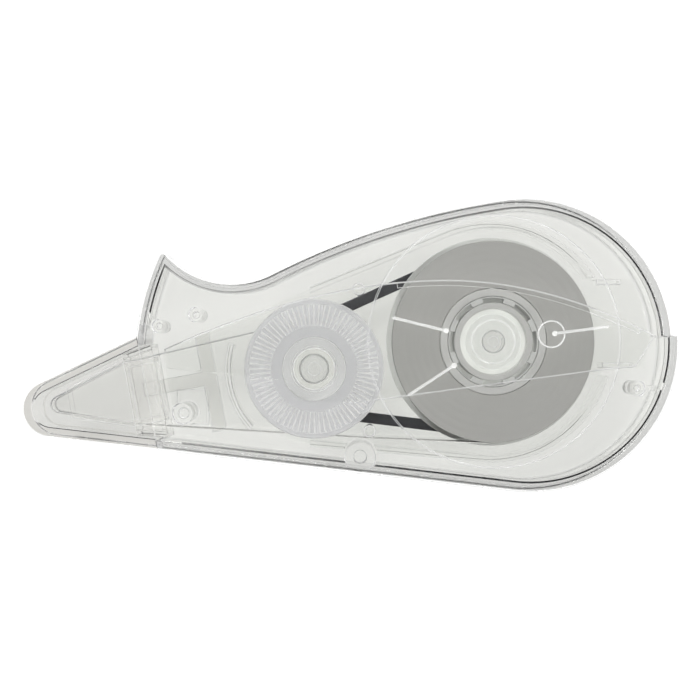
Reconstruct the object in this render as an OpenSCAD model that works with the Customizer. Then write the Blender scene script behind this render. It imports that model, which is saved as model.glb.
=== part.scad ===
// Correction tape roller, lying on its back: X runs from the nose (-X) to the round end,
// Y is the case's height in the hand, and Z is its thickness, from the back face at z = 0.

/* [Case] */
// Thickness of the case, back face to front face
case_t = 14; // [13.8:0.1:15]
// Wall round the edge of the case
case_wall = 1.25; // [1.1:0.05:1.35]
// Thickness of the two flat faces of the case
face_t = 1.2; // [1:0.1:1.2]
// Radius of the round end
end_r = 21.65; // [21.5:0.05:21.8]
// Radius of the long arched top edge
arch_r = 110; // [108:1:114]
// How far the lower half of the round end stands out past the upper half
thumb_step = 0.95; // [0.6:0.05:1.2]

/* [Nose] */
// Tilt of the nose below the length of the case, in degrees
nose_tilt = 10.5; // [10:0.5:11]
// Radius of the cap's round end
cap_nose_r = 4.15; // [4:0.05:4.3]
// Wall of the cap
cap_wall = 1.25; // [1:0.05:1.3]
// How far the cap's faces lie below the case's faces
cap_drop = 0.4; // [0.3:0.05:0.6]
// Radius of the edge that the tape turns round
tip_r = 1.15; // [1:0.05:1.2]

/* [Tape] */
// Width of the tape
tape_w = 5; // [4.8:0.1:5]
// Radius of the full roll of tape
roll_r = 14.9; // [13:0.1:14.9]
// Radius of the used liner wound on the take-up reel
winding_r = 7.2; // [6:0.1:7.4]
// Thickness that the tape and the liner are drawn at
web_t = 0.12; // [0.1:0.01:0.16]

/* [Drive] */
// Radius of the belt's centre line on the supply pulley
supply_belt_r = 13.6; // [13.3:0.1:13.6]
// Radius of the belt's centre line on the take-up reel
take_up_belt_r = 6.4; // [6.2:0.1:6.5]
// Side of the belt's section
belt_s = 1.6; // [1.4:0.1:1.6]
// Radius of the take-up reel's front disc
disc_r = 10.3; // [9.8:0.1:10.3]

/* [Hidden] */
$fn = 72;
eps = 0.01;

// Running clearance of a bore round its post, and of parts that slide past each other
run = 0.05;
slip = 0.1;

// Axes of the two reels
supply = [21, 0.5];
take_up = [-5.4, -3.5];

// Heights
part_z = case_t / 2;                 // where the two shells meet
tongue_h = 0.6;                      // tongue that locates the front shell in the rear one
tongue_w = 0.55;
base_z = face_t + 0.3;               // chassis plate
base_t = 0.8;
plate_z = base_z + base_t;
pulley_z = plate_z + 0.3;            // back of both pulleys
groove_z = pulley_z + 0.4;
groove_w = 1.8;
flange_z = groove_z + groove_w;      // flange in front of the belt
tape_z = flange_z + 0.8;             // back edge of the tape
bridge_z = case_t - face_t - 1.3;    // back of the bridge plate
bridge_t = 0.8;

// Round end of the case: upper and lower halves, the lower one standing out by thumb_step
end_up = [25.4, -0.1];
end_low = [end_up[0] + thumb_step, 0.1];
step_a = 4;
arch_a = 98.4;
bottom_slope = 6.6;
arch_c = end_up - (arch_r - end_r) * [cos(arch_a), sin(arch_a)];

// Hollow between the arched edge and the finger rest, and the finger rest's front edge
dip_c = [-17.45, 21.8];
dip_r = norm(dip_c - arch_c) - arch_r;
dip_a = atan2(arch_c[1] - dip_c[1], arch_c[0] - dip_c[0]);
rest_c = [8.35, -3.25];
rest_r = 40;
rest_tip_r = 0.75;
mouth = [-29.7, -7.1];
mouth_half = 14;

// Tapering nose, in the mouth's own frame: x towards the case, y across
cap_c = [-14.3, 0.4];
cap_up = 15.2;
cap_down = 17;
cap_gap = 0.15;
tip_c = [-13.4, 0.75];
tip_up = 16.3;
tip_down = 18.9;
shoulder_x = -2.8;
collar_end = 1.7;
collar_way = [-7.05, 7.25];          // lowest and highest edge of the way in for the collar

// Posts between the shells: place, boss radius, pin radius
pegs = [[-28.4, 2.8, 1, 0.5], [-22.9, 4.5, 1.1, 0.5], [-24.8, -10.1, 1.6, 0.8],
    [1.4, -16.6, 2.3, 1], [42.5, -6.4, 1.1, 0.5]];
guide_up = [1.2, 8.3];
guide_low = [2.8, -12.75];
guide_r = 0.95;
guide_foot_r = 0.55;
chamber_r = 17.8;

post_supply_r = 1.7;
post_take_up_r = 2.1;
hub_r = 5.75;
core_in_r = 6.7;
core_r = 7.85;
fingers = 8;

function polar(c, r, a) = c + r * [cos(a), sin(a)];
function arc(c, r, a0, a1, step = 4) =
    let (n = max(1, ceil(abs(a1 - a0) / step))) [for (i = [0:n]) polar(c, r, a0 + (a1 - a0) * i / n)];
function bezier(p, q, s, n = 12) =
    [for (i = [0:n]) let (t = i / n) (1 - t) * (1 - t) * p + 2 * t * (1 - t) * q + t * t * s];
function from_mouth(p) = mouth + [p[0] * cos(nose_tilt) - p[1] * sin(nose_tilt),
    p[0] * sin(nose_tilt) + p[1] * cos(nose_tilt)];

// Lower crossing of two circles, for the point of the finger rest in an inner outline
function crossing(c0, r0, c1, r1) =
    let (d = norm(c1 - c0), u = (c1 - c0) / d, a = (r0 * r0 - r1 * r1 + d * d) / (2 * d),
        h = sqrt(r0 * r0 - a * a)) c0 + a * u - h * [-u[1], u[0]];
function angle_at(c, p) = let (a = atan2(p[1] - c[1], p[0] - c[0])) a < -170 ? a + 360 : a;

// The case's outline, moved inwards by d, running on past the mouth
function case_outline(d) =
    let (sharp = d > rest_tip_r,
        tip = crossing(dip_c, dip_r + rest_tip_r, rest_c, rest_r - rest_tip_r),
        corner = sharp ? crossing(dip_c, dip_r + d, rest_c, rest_r - d) : tip,
        low_a = -90 - bottom_slope, low = polar(end_low, end_r - d, low_a), run_on = 62)
    concat(
        arc(end_low, end_r - d, low_a, 0), arc(end_low, end_r - d, 1, step_a - 1),
        arc(end_up, end_r - d, step_a, arch_a),
        arc(arch_c, arch_r - d, arch_a, dip_a + 180, 1.5),
        arc(dip_c, dip_r + d, dip_a, angle_at(dip_c, corner)),
        sharp ? [] : arc(tip, rest_tip_r - d, angle_at(tip, dip_c), angle_at(rest_c, tip), 15),
        arc(rest_c, rest_r - d, angle_at(rest_c, corner), 186),
        [low + run_on * [-cos(bottom_slope), sin(bottom_slope)]]);

// Loop round both reels: an arc about each axis, joined by the outer tangents
function reel_loop(rs, rk, step = 4) =
    let (v = supply - take_up, a = atan2(v[1], v[0]), b = asin((rs - rk) / norm(v)))
    concat(arc(supply, rs, a - b - 90, a + b + 90, step),
        arc(take_up, rk, a + b + 90, a - b + 270, step));

// Height of a tapering outline's upper and lower lines, at x in the mouth's frame
function upper_y(c, r, a, x) = c[1] + r / cos(a) + (x - c[0]) * tan(a);
function taper(c, r, up, down, x) = concat([[x, -upper_y([c[0], -c[1]], r, down, x)]],
    arc(c, r, 270 - down, 90 + up, 8), [[x, upper_y(c, r, up, x)]]);

// A band of thickness t along a line of points
function band_normal(p, i) =
    let (v = p[min(i + 1, len(p) - 1)] - p[max(i - 1, 0)]) [-v[1], v[0]] / norm(v);
function band(p, t) = concat([for (i = [0:len(p) - 1]) p[i] + band_normal(p, i) * t / 2],
    [for (i = [len(p) - 1:-1:0]) p[i] - band_normal(p, i) * t / 2]);

module slab(z, h) { translate([0, 0, z]) linear_extrude(h) children(); }
module at_mouth() { translate([mouth[0], mouth[1], 0]) rotate(nose_tilt) children(); }
module tube(z, h, r, bore) {
    difference() {
        translate([0, 0, z]) cylinder(r = r, h = h);
        translate([0, 0, z - 1]) cylinder(r = bore, h = h + 2);
    }
}

// Everything in front of the mouth, and the way into the case for the collar
module past_mouth() {
    at_mouth() {
        translate([-30, -mouth_half, -1]) cube([30, 2 * mouth_half, case_t + 2]);
        translate([-1, collar_way[0], face_t])
            cube([1 + collar_end + 0.5, collar_way[1] - collar_way[0], case_t - 2 * face_t]);
    }
}

module rear_shell() {
    color("honeydew", 0.4) {
        difference() {
            union() {
                slab(0, part_z) polygon(case_outline(0));
                slab(part_z, tongue_h) difference() {
                    polygon(case_outline(case_wall - tongue_w));
                    for (p = pegs) translate([p[0], p[1]]) circle(p[2] + slip);
                }
            }
            slab(face_t, case_t) polygon(case_outline(case_wall));
            past_mouth();
        }
        for (p = pegs) translate([p[0], p[1], 0]) peg_boss(p[2], p[3]);
        rim_rib();
    }
}

module peg_boss(r, pin) {
    difference() {
        translate([0, 0, face_t - eps]) cylinder(r = r, h = part_z - face_t);
        translate([0, 0, face_t + 2]) cylinder(r = pin + run, h = case_t);
    }
}

// Short rib that ties the last boss to the round end
module rim_rib() {
    rib = [3.2, 0.7, 4];
    translate([pegs[4][0] + pegs[4][2] - 0.2, pegs[4][1] - rib[1] / 2, face_t - eps]) cube(rib);
}

module front_shell() {
    color("honeydew", 0.4) {
        difference() {
            slab(part_z, case_t - part_z) polygon(case_outline(0));
            slab(part_z - 1, case_t - face_t - part_z + 1) polygon(case_outline(case_wall));
            slab(part_z - 1, 1 + tongue_h + slip) polygon(case_outline(case_wall - tongue_w - slip));
            past_mouth();
        }
        for (p = pegs) translate([p[0], p[1], 0]) {
            translate([0, 0, face_t + 2.4]) cylinder(r = p[3], h = case_t - 2 * face_t - 2.4 + eps);
            translate([0, 0, part_z + slip]) cylinder(r = p[2], h = part_z - face_t - slip + eps);
        }
    }
}

module nose_cap() {
    h = case_t - 2 * cap_drop;
    color("honeydew", 0.4) at_mouth() difference() {
        slab(cap_drop, h) polygon(taper(cap_c, cap_nose_r, cap_up, cap_down, -cap_gap));
        slab(cap_drop + face_t, h - 2 * face_t)
            polygon(taper(cap_c, cap_nose_r - cap_wall, cap_up, cap_down, 1));
    }
}

// Ring round the root of the head, which the cap grips
module nose_collar() {
    wall = 0.5;
    gap = 0.8;
    outer = [[shoulder_x, -5.75], [collar_end, -6.9], [collar_end, 7.1], [shoulder_x, 6.35]];
    inner = [[shoulder_x - 1, -4.8], [collar_end + 1, -6.45], [collar_end + 1, 6.57],
        [shoulder_x - 1, 5.48]];
    color("honeydew", 0.5) at_mouth() difference() {
        slab(face_t + gap, case_t - 2 * (face_t + gap)) polygon(outer);
        slab(face_t + gap + wall, case_t - 2 * (face_t + gap + wall)) polygon(inner);
    }
}

module applicator_head() {
    cheek = 0.6;
    side = 0.1;
    web_z = tape_z - side;
    web_h = tape_w + 2 * side;
    root = [[shoulder_x - 1, -3.6], [collar_end, -3.6], [collar_end, 4.4], [shoulder_x - 1, 4.4]];
    color("honeydew", 0.6) at_mouth() {
        slab(web_z, web_h) polygon(taper(tip_c, tip_r, tip_up, tip_down, shoulder_x));
        slab(web_z, web_h) polygon(root);
        for (z = [web_z - cheek, web_z + web_h]) slab(z, cheek) {
            intersection() {
                polygon(taper(tip_c, tip_r + 0.5, tip_up, tip_down, shoulder_x));
                translate([tip_c[0] + 1.6, -10]) square([20, 20]);
            }
            translate([shoulder_x, -4.4]) square([collar_end - shoulder_x, 9.5]);
        }
        head_anchor(web_z);
    }
}

// T-shaped foot that hooks the head into the chassis
module head_anchor(top) {
    stem = [[collar_end - 3, -0.45], [7.8, -0.45], [7.8, 1.65], [collar_end - 3, 1.65]];
    bar = [[7.6, -7.6], [9.8, -7.6], [9.8, 7.4], [7.6, 7.4]];
    bar_t = 1.7;
    slab(pulley_z, bar_t) { polygon(stem); polygon(bar); }
    slab(pulley_z, top - pulley_z) intersection() {
        polygon(stem);
        square([2 * collar_end, 20], center = true);
    }
}

module chassis() {
    wall = 0.8;
    wall_top = tape_z + tape_w;
    nose_plate = [[-26.6, -11.6], [-10, -13.6], [-10, 6.2], [-20.5, 2.4], [-28.6, -1.4]];
    tail_plate = [[34, 10], [42.6, 10.1], [44.2, 6.5], [45.2, 1], [44.6, -3.4], [34, -3.4]];
    color("gainsboro", 0.45) {
        difference() {
            slab(base_z, base_t) {
                polygon(reel_loop(chamber_r, 11.5));
                polygon(nose_plate);
                polygon(tail_plate);
            }
            peg_clearance();
        }
        difference() {
            slab(plate_z - eps, wall_top - plate_z) difference() {
                polygon(reel_loop(chamber_r, 11.5));
                polygon(reel_loop(chamber_r - wall, 11.5 - wall));
                translate([-40, -30]) square([34, 60]);
                translate([35, -4.5]) square([10, 14.5]);
            }
            peg_clearance();
        }
        slab(plate_z - eps, wall_top - plate_z)
            polygon(concat(arc(take_up, 13.2, 163, 223), arc(take_up, 13.2 - wall, 223, 163)));
        tail_walls(wall);
        for (g = [guide_up, guide_low]) translate([g[0], g[1], plate_z - eps]) {
            cylinder(r = guide_foot_r, h = tape_z - plate_z);
            translate([0, 0, flange_z - plate_z]) cylinder(r = guide_r, h = wall_top - flange_z);
        }
        post(supply, post_supply_r, bridge_z - 0.3);
        post(take_up, post_take_up_r, bridge_z - 0.3);
    }
}

module peg_clearance() {
    for (p = pegs) translate([p[0], p[1], 0]) cylinder(r = p[2] + 0.35, h = case_t);
}

module tail_walls(wall) {
    side = 5.5;
    translate([36.6, 9.8 - wall, plate_z - eps]) cube([3.6, wall, side]);
    translate([37.4, -3.4, plate_z - eps]) cube([4.6, wall, side]);
}

module post(c, r, top) {
    translate([c[0], c[1], 0]) difference() {
        translate([0, 0, plate_z - eps]) cylinder(r = r, h = top - plate_z);
        translate([0, 0, top - 0.4]) cylinder(r = r / 2, h = 1);
    }
}

// Clear plate that holds both reels down, with its spokes
module bridge() {
    rib = 0.45;
    rib_w = 0.4;
    lip_w = 0.9;
    lip_set = 0.05;
    lip_ends = [4.5, 40];
    eye = [29.5, 1.6];
    eye_r = 2.05;
    front = bezier([-27.4, -0.6], [-5, 9.6], [14, 9.6]);
    rear = bezier([14, 9.6], [29, 9.6], [44.8, 1.4]);
    plate = concat(front, rear, [[41.8, -3.2], [35.5, -3.9], [3.5, -8.2]],
        arc(take_up, 5.2, -80, -160, 10), [[-26.9, -3.4]]);
    edge = [for (p = concat(front, rear))
        if (p[0] > lip_ends[0] && p[0] < lip_ends[1] && p != rear[0]) p];
    lip = concat([for (p = edge) p - [0, lip_set]],
        [for (i = [len(edge) - 1:-1:0]) edge[i] - [0, lip_w]]);
    spokes = [[[6.3, 4], [14.05, 2.1]], [[8.6, -7.3], [15.2, -3]], [[30, 1.7], [37.8, 2.7]]];
    color("gainsboro", 0.4) {
        slab(bridge_z, bridge_t) polygon(plate);
        slab(bridge_z - rib, rib + eps) polygon(lip);
        for (s = spokes) slab(bridge_z - rib, rib + eps) polygon(band(s, rib_w));
        translate(eye) tube(bridge_z - rib, rib + eps, eye_r, eye_r - 0.4);
    }
}

module drive_pulley() {
    groove_r = supply_belt_r - belt_s / 2 - run;
    web_z = flange_z + 3.8;
    profile = [[post_supply_r + run, pulley_z], [2.6, pulley_z], [2.6, web_z],
        [hub_r - 0.85, web_z], [hub_r - 0.85, flange_z], [groove_r - 0.85, flange_z],
        [groove_r - 0.85, pulley_z], [15.6, pulley_z], [15.6, groove_z], [groove_r, groove_z],
        [groove_r, flange_z], [15.6, flange_z], [15.6, flange_z + 0.5], [hub_r, flange_z + 0.5],
        [hub_r, tape_z + tape_w + 0.3], [hub_r - 0.85, tape_z + tape_w + 0.3],
        [hub_r - 0.85, web_z + 0.8], [post_supply_r + run, web_z + 0.8]];
    color("whitesmoke") translate(supply) rotate_extrude() polygon(profile);
}

// Ring of springy fingers that lets the roll slip on the pulley
module clutch_ring() {
    finger_h = 2.2;
    finger_half = 8.5;
    ring_wall = 0.25;
    pitch = 360 / fingers;
    h = tape_w + 0.3;
    color("lightgray") translate([supply[0], supply[1], tape_z - 0.15]) {
        tube(0, h, core_in_r - run, core_in_r - ring_wall);
        slab(h - finger_h, finger_h) intersection() {
            difference() {
                circle(r = core_in_r - ring_wall + eps);
                circle(r = hub_r + slip);
            }
            for (i = [0:fingers - 1]) rotate((i + 0.5) * pitch)
                polygon(finger_sector(finger_half, 4, 9));
        }
    }
}

function finger_sector(half, r0, r1) = [polar([0, 0], r0, -half), polar([0, 0], r1, -half),
    polar([0, 0], r1, half), polar([0, 0], r0, half)];

module supply_core() {
    color("silver") translate(supply) tube(tape_z - 0.15, tape_w + 0.3, core_r, core_in_r);
}

module tape_roll() {
    color("darkgray") translate(supply) tube(tape_z, tape_w, roll_r, core_r + run);
}

module supply_retainer() {
    z = flange_z + 4.9;
    profile = [[post_supply_r + 0.02, z], [2.9, z], [2.9, z + 0.6], [4.1, z + 0.6],
        [4.1, z + 1.2], [post_supply_r + 0.02, z + 1.2]];
    color("whitesmoke", 0.7) translate(supply) rotate_extrude() polygon(profile);
}

module take_up_reel() {
    groove_r = take_up_belt_r - belt_s / 2 - run;
    bore_r = post_take_up_r + run;
    top = bridge_z - 0.2;
    profile = [[bore_r, pulley_z], [7.4, pulley_z], [7.4, groove_z], [groove_r, groove_z],
        [groove_r, flange_z], [10, flange_z], [10, flange_z + 0.6], [4.7, flange_z + 0.6],
        [4.7, top], [3.3, top], [3.3, top - 1.1], [bore_r, top - 1.1]];
    color("gainsboro", 0.6) translate(take_up) rotate_extrude() polygon(profile);
}

// Front disc, with the ribbed band that the thumb could turn
module take_up_disc() {
    z = tape_z + tape_w + 0.3;
    profile = [[4.7 + 0.02, z], [disc_r, z], [disc_r, z + 0.35], [8.9, z + 0.35], [8.9, z + 0.5],
        [6.4, z + 0.5], [6.4, z + 0.35], [4.7 + 0.02, z + 0.35]];
    color("gainsboro", 0.6) translate(take_up) rotate_extrude() polygon(profile);
}

module take_up_winding() {
    color("white") translate(take_up) tube(tape_z, tape_w, winding_r, 4.7 + run);
}

module take_up_retainer() {
    z = bridge_z - 1.1;
    color("darkkhaki", 0.7) translate(take_up) tube(z, 0.7, 3.1, post_take_up_r + 0.02);
}

module drive_belt() {
    half = belt_s / 2;
    color("#202024") slab(groove_z + (groove_w - belt_s) / 2, belt_s) difference() {
        polygon(reel_loop(supply_belt_r + half, take_up_belt_r + half));
        polygon(reel_loop(supply_belt_r - half, take_up_belt_r - half));
    }
}

// Fresh tape: off the roll, under the guide, along the head and round to its edge
module tape_web() {
    off = 0.05 + web_t / 2;
    low = taper(tip_c, tip_r + off, tip_up, tip_down, shoulder_x)[0];
    turn = arc(tip_c, tip_r + off, 270 - tip_down, 184, 10);
    path = concat([polar(supply, roll_r + off, -93.5), guide_low - [0, guide_r + off]],
        [for (p = concat([low], turn)) from_mouth(p)]);
    color("white") slab(tape_z, tape_w) polygon(band(path, web_t));
}

// Used liner: from the edge along the head's upper side to the take-up reel
module liner_web() {
    off = 0.05 + web_t / 2;
    side = taper(tip_c, tip_r + off, tip_up, tip_down, shoulder_x);
    turn = arc(tip_c, tip_r + off, 178, 90 + tip_up, 10);
    path = concat([for (p = concat(turn, [side[len(side) - 1]])) from_mouth(p)],
        [polar(take_up, winding_r + off, 101.4)]);
    color("silver") slab(tape_z, tape_w) polygon(band(path, web_t));
}

rear_shell();
front_shell();
nose_cap();
nose_collar();
applicator_head();
chassis();
bridge();
drive_pulley();
clutch_ring();
supply_core();
tape_roll();
supply_retainer();
take_up_reel();
take_up_disc();
take_up_winding();
take_up_retainer();
drive_belt();
tape_web();
liner_web();
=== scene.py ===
"""Correction tape roller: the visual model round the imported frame. Lengths are in millimetres."""
from math import asin, atan2, cos, degrees, hypot, pi, radians, sin, sqrt, tan

import bmesh
import bpy
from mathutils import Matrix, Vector
from mathutils.kdtree import KDTree


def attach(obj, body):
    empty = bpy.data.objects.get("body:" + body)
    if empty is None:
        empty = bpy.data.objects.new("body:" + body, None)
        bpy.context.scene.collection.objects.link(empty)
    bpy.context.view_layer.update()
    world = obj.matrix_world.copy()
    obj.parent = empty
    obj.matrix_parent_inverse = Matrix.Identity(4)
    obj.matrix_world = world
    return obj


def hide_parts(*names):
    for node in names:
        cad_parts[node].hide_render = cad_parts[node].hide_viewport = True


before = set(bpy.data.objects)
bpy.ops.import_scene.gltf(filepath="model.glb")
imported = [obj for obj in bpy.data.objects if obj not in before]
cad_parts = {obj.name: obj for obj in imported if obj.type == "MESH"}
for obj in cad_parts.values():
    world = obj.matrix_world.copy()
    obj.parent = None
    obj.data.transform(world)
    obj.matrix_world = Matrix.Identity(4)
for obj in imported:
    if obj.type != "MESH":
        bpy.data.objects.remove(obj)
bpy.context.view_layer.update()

MM = 0.001

# ---------------------------------------------------------------- sizes, as in the CAD model
CASE_T = 14.0
CASE_WALL = 1.25
FACE_T = 1.2
END_R = 21.65
ARCH_R = 110.0
PART_Z = CASE_T / 2
NOSE_TILT = 10.5
CAP_NOSE_R = 4.15
CAP_WALL = 1.25
CAP_DROP = 0.4
CAP_GAP = 0.15
TIP_R = 1.15
TAPE_W = 5.0
ROLL_R = 14.9
WINDING_R = 7.2
SUPPLY_BELT_R = 13.6
TAKE_UP_BELT_R = 6.4
BELT_S = 1.6
DISC_R = 10.3
SUPPLY = (21.0, 0.5)
TAKE_UP = (-5.4, -3.5)
MOUTH = (-29.7, -7.1)
PLATE_Z = 2.3
PULLEY_Z = 2.6
GROOVE_Z = 3.0
GROOVE_W = 1.8
FLANGE_Z = 4.8
TAPE_Z = 5.6
BRIDGE_Z = 11.5
END_UP = (25.4, -0.1)
END_LOW = (26.35, 0.1)
STEP_A = 4.0
ARCH_A = 98.4
BOTTOM_SLOPE = 6.6
ARCH_C = (END_UP[0] - (ARCH_R - END_R) * cos(radians(ARCH_A)),
          END_UP[1] - (ARCH_R - END_R) * sin(radians(ARCH_A)))
DIP_C = (-17.45, 21.8)
DIP_R = hypot(DIP_C[0] - ARCH_C[0], DIP_C[1] - ARCH_C[1]) - ARCH_R
DIP_A = degrees(atan2(ARCH_C[1] - DIP_C[1], ARCH_C[0] - DIP_C[0]))
REST_C = (8.35, -3.25)
REST_R = 40.0
REST_TIP_R = 0.75
CAP_C = (-14.3, 0.4)
CAP_UP = 15.2
CAP_DOWN = 17.0
TIP_C = (-13.4, 0.75)
TIP_UP = 16.3
TIP_DOWN = 18.9
SHOULDER_X = -2.8
COLLAR_END = 1.7
# bosses between the shells: x, y, boss radius, pin radius
PEGS = [(-28.4, 2.8, 1, 0.5), (-22.9, 4.5, 1.1, 0.5), (-24.8, -10.1, 1.6, 0.8),
        (1.4, -16.6, 2.3, 1), (42.5, -6.4, 1.1, 0.5)]
POST_SUPPLY_R = 1.7
POST_TAKE_UP_R = 2.1
HUB_R = 5.75
CORE_IN_R = 6.7
CORE_R = 7.85
RUN = 0.05


# ---------------------------------------------------------------- outlines
def polar(c, r, a):
    return (c[0] + r * cos(radians(a)), c[1] + r * sin(radians(a)))


def arc(c, r, a0, a1, n):
    return [polar(c, r, a0 + (a1 - a0) * i / n) for i in range(n + 1)]


def from_mouth(p):
    c, s = cos(radians(NOSE_TILT)), sin(radians(NOSE_TILT))
    return (MOUTH[0] + p[0] * c - p[1] * s, MOUTH[1] + p[0] * s + p[1] * c)


def crossing(c0, r0, c1, r1):
    """Lower crossing of two circles."""
    d = hypot(c1[0] - c0[0], c1[1] - c0[1])
    ux, uy = (c1[0] - c0[0]) / d, (c1[1] - c0[1]) / d
    a = (r0 * r0 - r1 * r1 + d * d) / (2 * d)
    h = sqrt(r0 * r0 - a * a)
    return (c0[0] + a * ux + h * uy, c0[1] + a * uy - h * ux)


def angle_at(c, p):
    a = degrees(atan2(p[1] - c[1], p[0] - c[0]))
    return a + 360 if a < -170 else a


def case_outline(d, run_on=62.0):
    """The case's outline, moved inwards by d; every d gives the same number of points."""
    tip = crossing(DIP_C, DIP_R + REST_TIP_R, REST_C, REST_R - REST_TIP_R)
    inset = min(d, REST_TIP_R)
    corner = tip if d <= REST_TIP_R else crossing(DIP_C, DIP_R + d, REST_C, REST_R - d)
    low_a = -90 - BOTTOM_SLOPE
    low = polar(END_LOW, END_R - d, low_a)
    points = arc(END_LOW, END_R - d, low_a, 0, 30)
    points += arc(END_LOW, END_R - d, 1, STEP_A - 1, 2)
    points += arc(END_UP, END_R - d, STEP_A, ARCH_A, 30)
    points += arc(ARCH_C, ARCH_R - d, ARCH_A + 0.6, DIP_A + 180, 26)
    points += arc(DIP_C, DIP_R + d, DIP_A - 1, angle_at(DIP_C, corner), 24)
    first, last = angle_at(tip, DIP_C), angle_at(REST_C, tip)
    for i in range(1, 10):
        if d <= REST_TIP_R:
            points.append(polar(tip, REST_TIP_R - inset, first + (last - first) * i / 10))
        else:
            points.append(corner)
    points += arc(REST_C, REST_R - d, angle_at(REST_C, corner), 186, 16)
    slope = radians(BOTTOM_SLOPE)
    steps = 24
    for i in range(steps, 0, -1):
        run = run_on * i / steps
        points.append((low[0] - run * cos(slope), low[1] + run * sin(slope)))
    return points


def reel_loop(rs, rk, n=48):
    vx, vy = SUPPLY[0] - TAKE_UP[0], SUPPLY[1] - TAKE_UP[1]
    a = degrees(atan2(vy, vx))
    b = degrees(asin((rs - rk) / hypot(vx, vy)))
    return (arc(SUPPLY, rs, a - b - 90, a + b + 90, n)
            + arc(TAKE_UP, rk, a + b + 90, a - b + 270, n))


def upper_y(c, r, a, x):
    return c[1] + r / cos(radians(a)) + (x - c[0]) * tan(radians(a))


def taper(c, r, up, down, x, n=20):
    """Tapering outline with a round end, in the mouth's frame, closed at x."""
    mirrored = (c[0], -c[1])
    return ([(x, -upper_y(mirrored, r, down, x))] + arc(c, r, 270 - down, 90 + up, n)
            + [(x, upper_y(c, r, up, x))])


def inset_polygon(points, d):
    """Moves each side of an anticlockwise polygon inwards by d."""
    out = []
    count = len(points)
    for i, p in enumerate(points):
        q, s = points[i - 1], points[(i + 1) % count]
        before = Vector((p[0] - q[0], p[1] - q[1])).normalized()
        after = Vector((s[0] - p[0], s[1] - p[1])).normalized()
        normals = Vector((-before.y, before.x)), Vector((-after.y, after.x))
        mid = normals[0] + normals[1]
        share = d / max(0.35, (1 + normals[0].dot(normals[1])))
        out.append((p[0] + mid.x * share, p[1] + mid.y * share))
    return out


# ---------------------------------------------------------------- meshes
def mesh_object(name, verts, faces, smooth_angle=34.0):
    mesh = bpy.data.meshes.new(name)
    mesh.from_pydata([(x * MM, y * MM, z * MM) for x, y, z in verts], [], faces)
    work = bmesh.new()
    work.from_mesh(mesh)
    bmesh.ops.remove_doubles(work, verts=work.verts, dist=1e-7)
    bmesh.ops.dissolve_degenerate(work, edges=work.edges, dist=1e-7)
    bmesh.ops.recalc_face_normals(work, faces=work.faces)
    work.to_mesh(mesh)
    work.free()
    obj = bpy.data.objects.new(name, mesh)
    bpy.context.scene.collection.objects.link(obj)
    smooth(obj, smooth_angle)
    return obj


def smooth(obj, angle=34.0):
    obj.data.shade_smooth()
    obj.data.set_sharp_from_angle(angle=radians(angle))


def loft(name, rings, close=False):
    """Joins rings of (x, y, z) points, one after another; the ends are capped or joined."""
    n = len(rings[0])
    verts = [p for ring in rings for p in ring]
    faces = []
    last = len(rings) if close else len(rings) - 1
    for k in range(last):
        a, b = k * n, ((k + 1) % len(rings)) * n
        faces += [(a + i, a + (i + 1) % n, b + (i + 1) % n, b + i) for i in range(n)]
    if not close:
        faces.append(tuple(range(n - 1, -1, -1)))
        faces.append(tuple((len(rings) - 1) * n + i for i in range(n)))
    return mesh_object(name, verts, faces)


def edge_profile(z0, z1, r0, r1, steps=4):
    """(inset, height) pairs up the side of a slab with rounded edges."""
    low = [(r0 * (1 - sin(t)), z0 + r0 * (1 - cos(t)))
           for t in (pi / 2 * i / steps for i in range(steps + 1))] if r0 else [(0, z0)]
    high = [(r1 * (1 - cos(t)), z1 - r1 * (1 - sin(t)))
            for t in (pi / 2 * i / steps for i in range(steps + 1))] if r1 else [(0, z1)]
    return low + high


def rounded_slab(name, outline, z0, z1, r0=0.15, r1=0.15, base=0.0, steps=4, rim=None):
    """Slab of outline(inset), with rounded edges at its back and front. With rim, the back and
    front faces are split at that inset."""
    profile = edge_profile(z0, z1, r0, r1, steps)
    if rim:
        flat = 0.04
        profile = [(rim, z0), (r0 + flat, z0)] + profile + [(r1 + flat, z1), (rim, z1)]
    rings = [[(x, y, z) for x, y in outline(base + inset)] for inset, z in profile]
    return loft(name, rings)


def soften(profile, r, steps=3):
    """Rounds each corner of a closed (radius, height) profile."""
    out = []
    count = len(profile)
    for i in range(count):
        p, q, s = (Vector(profile[i - 1]), Vector(profile[i]), Vector(profile[(i + 1) % count]))
        cut = min(r, 0.4 * (q - p).length, 0.4 * (s - q).length)
        a = q + (p - q).normalized() * cut
        b = q + (s - q).normalized() * cut
        for k in range(steps + 1):
            t = k / steps
            out.append(tuple((1 - t) ** 2 * a + 2 * t * (1 - t) * q + t * t * b))
    return out


def revolve(name, centre, profile, segments=144, soft=0.1, height=None):
    """Turns a closed profile about an axis along Z. height(radius, z, angle) may shape it."""
    outline = soften(profile, soft) if soft else profile
    rings = []
    for k in range(segments):
        a = 2 * pi * k / segments
        ring = []
        for r, z in outline:
            top = height(r, z, a) if height else z
            ring.append((centre[0] + r * cos(a), centre[1] + r * sin(a), top))
        rings.append(ring)
    return loft(name, rings, close=True)


def cylinder(name, x, y, r, z0, z1, soft=0.12, segments=40):
    rings = [[(x + (r - inset) * cos(2 * pi * k / segments),
               y + (r - inset) * sin(2 * pi * k / segments), z) for k in range(segments)]
             for inset, z in edge_profile(z0, z1, soft, soft, 3)]
    return loft(name, rings)


def prism(name, points, z0, z1, soft=0.0):
    return rounded_slab(name, lambda d: inset_polygon(points, d), z0, z1, soft, soft)


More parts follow.
